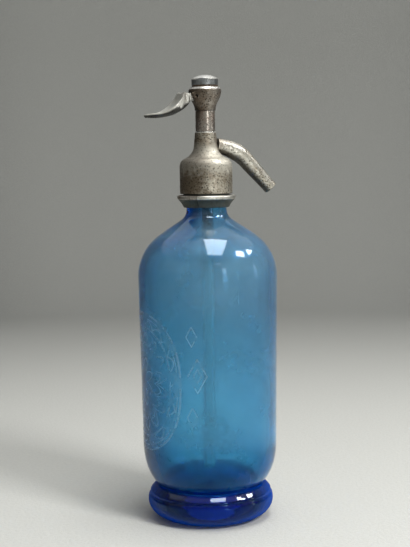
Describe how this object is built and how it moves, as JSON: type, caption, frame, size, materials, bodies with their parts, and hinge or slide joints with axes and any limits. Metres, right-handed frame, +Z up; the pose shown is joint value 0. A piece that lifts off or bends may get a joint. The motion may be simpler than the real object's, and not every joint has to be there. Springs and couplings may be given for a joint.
{
  "type": "soda siphon",
  "caption": "Blue glass soda siphon with a tarnished metal head, a curved spout and a sprung hand lever that lifts the valve.",
  "frame": {"origin": "on the bottle's axis, at the level of the surface it stands on", "axes": "+Z up along the bottle's axis, +X towards the spout, -X towards the lever"},
  "size_m": [0.1055, 0.1026, 0.3271],
  "materials": {
    "bottle_glass": "blown blue glass, hazed and lightly etched",
    "tube_glass": "clear drawn glass",
    "head_metal": "tarnished cast tin, pitted",
    "neck_metal": "tarnished tin over brass",
    "collar_metal": "dull cast tin",
    "lever_metal": "worn bright tin",
    "cap_metal": "smooth blue-grey metal",
    "pin_metal": "dull steel",
    "spring_metal": "drawn bronze wire",
    "valve_brass": "turned brass",
    "inner_tin": "cast tin",
    "rubber_seal": "aged rubber",
    "leather_seal": "greased leather"
  },
  "bodies": {
    "root": {"glass_bottle": "bottle_glass", "dip_tube": "tube_glass", "tube_sleeve": "rubber_seal", "tube_holder": "inner_tin", "mouth_gasket": "rubber_seal", "head_gasket": "rubber_seal", "collar_half_right": "collar_metal", "collar_half_left": "collar_metal", "head_body": "head_metal", "spout": "head_metal", "valve_seat": "valve_brass", "neck_tube": "neck_metal", "stem_packing": "leather_seal", "gland_nut": "valve_brass", "lever_housing": "head_metal", "cap_washer": "leather_seal", "screw_cap": "cap_metal", "spring_washer": "valve_brass", "valve_spring": "spring_metal", "lever_pin": "pin_metal"},
    "lever_arm": {"lever": "lever_metal"},
    "piston": {"valve_disc": "rubber_seal", "valve_cup": "valve_brass", "piston_rod": "valve_brass", "piston_head": "valve_brass"}
  },
  "joints": [
    {"name": "lever_hinge", "type": "hinge", "parent": "root", "child": "lever_arm", "pos_m": [-0.009, 0, 0.31154], "axis": [0, -1, 0], "range_deg": [0, 14], "stiffness_Nm_per_rad": 0.39, "springref_deg": -25.78},
    {"name": "valve_slide", "type": "slide", "parent": "root", "child": "piston", "axis": [0, 0, 1], "range_m": [0, 0.00166], "deforming": ["valve_spring"]}
  ],
  "couplings": [
    {"joint": "lever_hinge", "follows": "valve_slide", "rad_per_m": 147.06}
  ]
}
